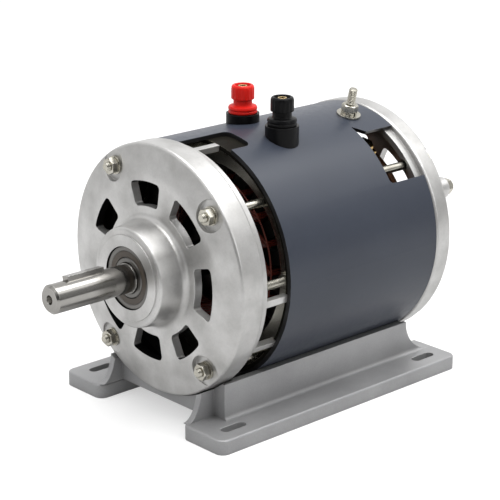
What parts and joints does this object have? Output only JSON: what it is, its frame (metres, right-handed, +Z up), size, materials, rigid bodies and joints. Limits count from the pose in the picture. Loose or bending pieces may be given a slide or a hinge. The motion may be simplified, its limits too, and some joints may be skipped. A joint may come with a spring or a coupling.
{
  "type": "demonstration electric motor",
  "caption": "Foot-mounted direct-current motor with a cut-away casing that shows the armature, commutator and brushes, with binding posts, an earth stud and a keyed shaft.",
  "frame": {"origin": "on the mounting plane, midway between the four foot slots, below the shaft's axis", "axes": "+Z up, the shaft along Y with its drive end towards -Y, +X to the right seen from the drive end"},
  "size_m": [0.168, 0.295, 0.208],
  "materials": {
    "base_casting": "fine sand-cast, satin",
    "housing_paint": "blue-grey semi-gloss",
    "bell_casting": "turned, satin",
    "liner_steel": "bare steel, oiled",
    "magnet_ferrite": "dull sintered",
    "zinc_steel": "yellowish zinc plate",
    "shaft_steel": "ground, semi-polished",
    "lamination_steel": "stacked sheet, varnished",
    "winding_copper": "enamelled wire, varnished",
    "red_fibre": "vulcanised fibre",
    "phenolic": "moulded phenolic",
    "commutator_copper": "turned copper",
    "bearing_steel": "ground",
    "bearing_cage": "pressed sheet",
    "bearing_seal": "nitrile",
    "carbon": "electrographite",
    "brass": "turned",
    "red_plastic": "moulded",
    "black_plastic": "moulded",
    "lead_insulation_red": "soft insulation",
    "lead_insulation_black": "soft insulation"
  },
  "bodies": {
    "frame": {"base": "base_casting", "housing": "housing_paint", "front_bell": "bell_casting", "rear_bell": "bell_casting", "pole_liner": "liner_steel", "right_magnet": "magnet_ferrite", "left_magnet": "magnet_ferrite", "clamp_ring": "zinc_steel", "clamp_studs": "zinc_steel", "tie_bolts": "zinc_steel", "ring_bolts": "zinc_steel", "saddle_bolts": "zinc_steel", "saddle_pads": "zinc_steel", "bolt_washers": "zinc_steel", "hex_nuts": "zinc_steel", "front_bearing_outer_ring": "bearing_steel", "front_bearing_seals": "bearing_seal", "rear_bearing_outer_ring": "bearing_steel", "rear_bearing_seals": "bearing_seal", "spring_washer": "bearing_cage", "brush_ring": "phenolic", "upper_brush_spring": "bearing_cage", "lower_brush_spring": "bearing_cage", "upper_brush_holder": "brass", "lower_brush_holder": "brass", "brush_caps": "brass", "holder_screws": "zinc_steel", "positive_collar": "black_plastic", "negative_collar": "black_plastic", "positive_post": "red_plastic", "negative_post": "black_plastic", "positive_stem": "brass", "negative_stem": "brass", "inner_insulators": "red_fibre", "terminal_tags": "brass", "terminal_nuts": "brass", "earth_stud": "zinc_steel", "earth_nut": "zinc_steel", "earth_washers": "zinc_steel", "positive_lead": "lead_insulation_red", "negative_lead": "lead_insulation_black"},
    "rotor": {"shaft": "shaft_steel", "shaft_key": "shaft_steel", "armature_core": "lamination_steel", "armature_winding": "winding_copper", "slot_wedges": "red_fibre", "commutator_sleeve": "phenolic", "commutator_bars": "commutator_copper", "front_bearing_inner_ring": "bearing_steel", "rear_bearing_inner_ring": "bearing_steel"},
    "front_ball_set": {"front_bearing_balls": "bearing_steel", "front_bearing_cage": "bearing_cage"},
    "rear_ball_set": {"rear_bearing_balls": "bearing_steel", "rear_bearing_cage": "bearing_cage"},
    "upper_brush": {"upper_brush": "carbon"},
    "lower_brush": {"lower_brush": "carbon"},
    "positive_cap_insert": {"positive_cap_insert": "brass"},
    "positive_cap": {"positive_cap": "red_plastic"},
    "negative_cap_insert": {"negative_cap_insert": "brass"},
    "negative_cap": {"negative_cap": "black_plastic"}
  },
  "joints": [
    {"name": "shaft_spin", "type": "hinge", "parent": "frame", "child": "rotor", "pos_m": [0, 0, 0.1], "axis": [0, 1, 0], "continuous": true},
    {"name": "front_ball_orbit", "type": "hinge", "parent": "frame", "child": "front_ball_set", "pos_m": [0, -0.1135, 0.1], "axis": [0, 1, 0], "continuous": true},
    {"name": "rear_ball_orbit", "type": "hinge", "parent": "frame", "child": "rear_ball_set", "pos_m": [0, 0.0905, 0.1], "axis": [0, 1, 0], "continuous": true},
    {"name": "upper_brush_slide", "type": "slide", "parent": "frame", "child": "upper_brush", "axis": [0.4226, 0, 0.9063], "range_m": [0, 0.005], "stiffness_N_per_m": 300, "springref_m": -0.01, "deforming": ["upper_brush_spring"]},
    {"name": "lower_brush_slide", "type": "slide", "parent": "frame", "child": "lower_brush", "axis": [-0.4226, 0, -0.9063], "range_m": [0, 0.005], "stiffness_N_per_m": 300, "springref_m": -0.01, "deforming": ["lower_brush_spring"]},
    {"name": "positive_cap_rise", "type": "slide", "parent": "frame", "child": "positive_cap_insert", "axis": [0, 0, 1], "range_m": [0, 0.004]},
    {"name": "positive_cap_turn", "type": "hinge", "parent": "positive_cap_insert", "child": "positive_cap", "pos_m": [-0.0108, -0.0104, 0.2], "axis": [0, 0, 1], "range_deg": [0, 1440]},
    {"name": "negative_cap_rise", "type": "slide", "parent": "frame", "child": "negative_cap_insert", "axis": [0, 0, 1], "range_m": [0, 0.004]},
    {"name": "negative_cap_turn", "type": "hinge", "parent": "negative_cap_insert", "child": "negative_cap", "pos_m": [0.0272, -0.0104, 0.2], "axis": [0, 0, 1], "range_deg": [0, 1440]}
  ],
  "couplings": [
    {"joint": "front_ball_orbit", "follows": "shaft_spin", "ratio": 0.39758},
    {"joint": "rear_ball_orbit", "follows": "shaft_spin", "ratio": 0.39758},
    {"joint": "positive_cap_turn", "follows": "positive_cap_rise", "rad_per_m": 6283.2},
    {"joint": "negative_cap_turn", "follows": "negative_cap_rise", "rad_per_m": 6283.2}
  ]
}
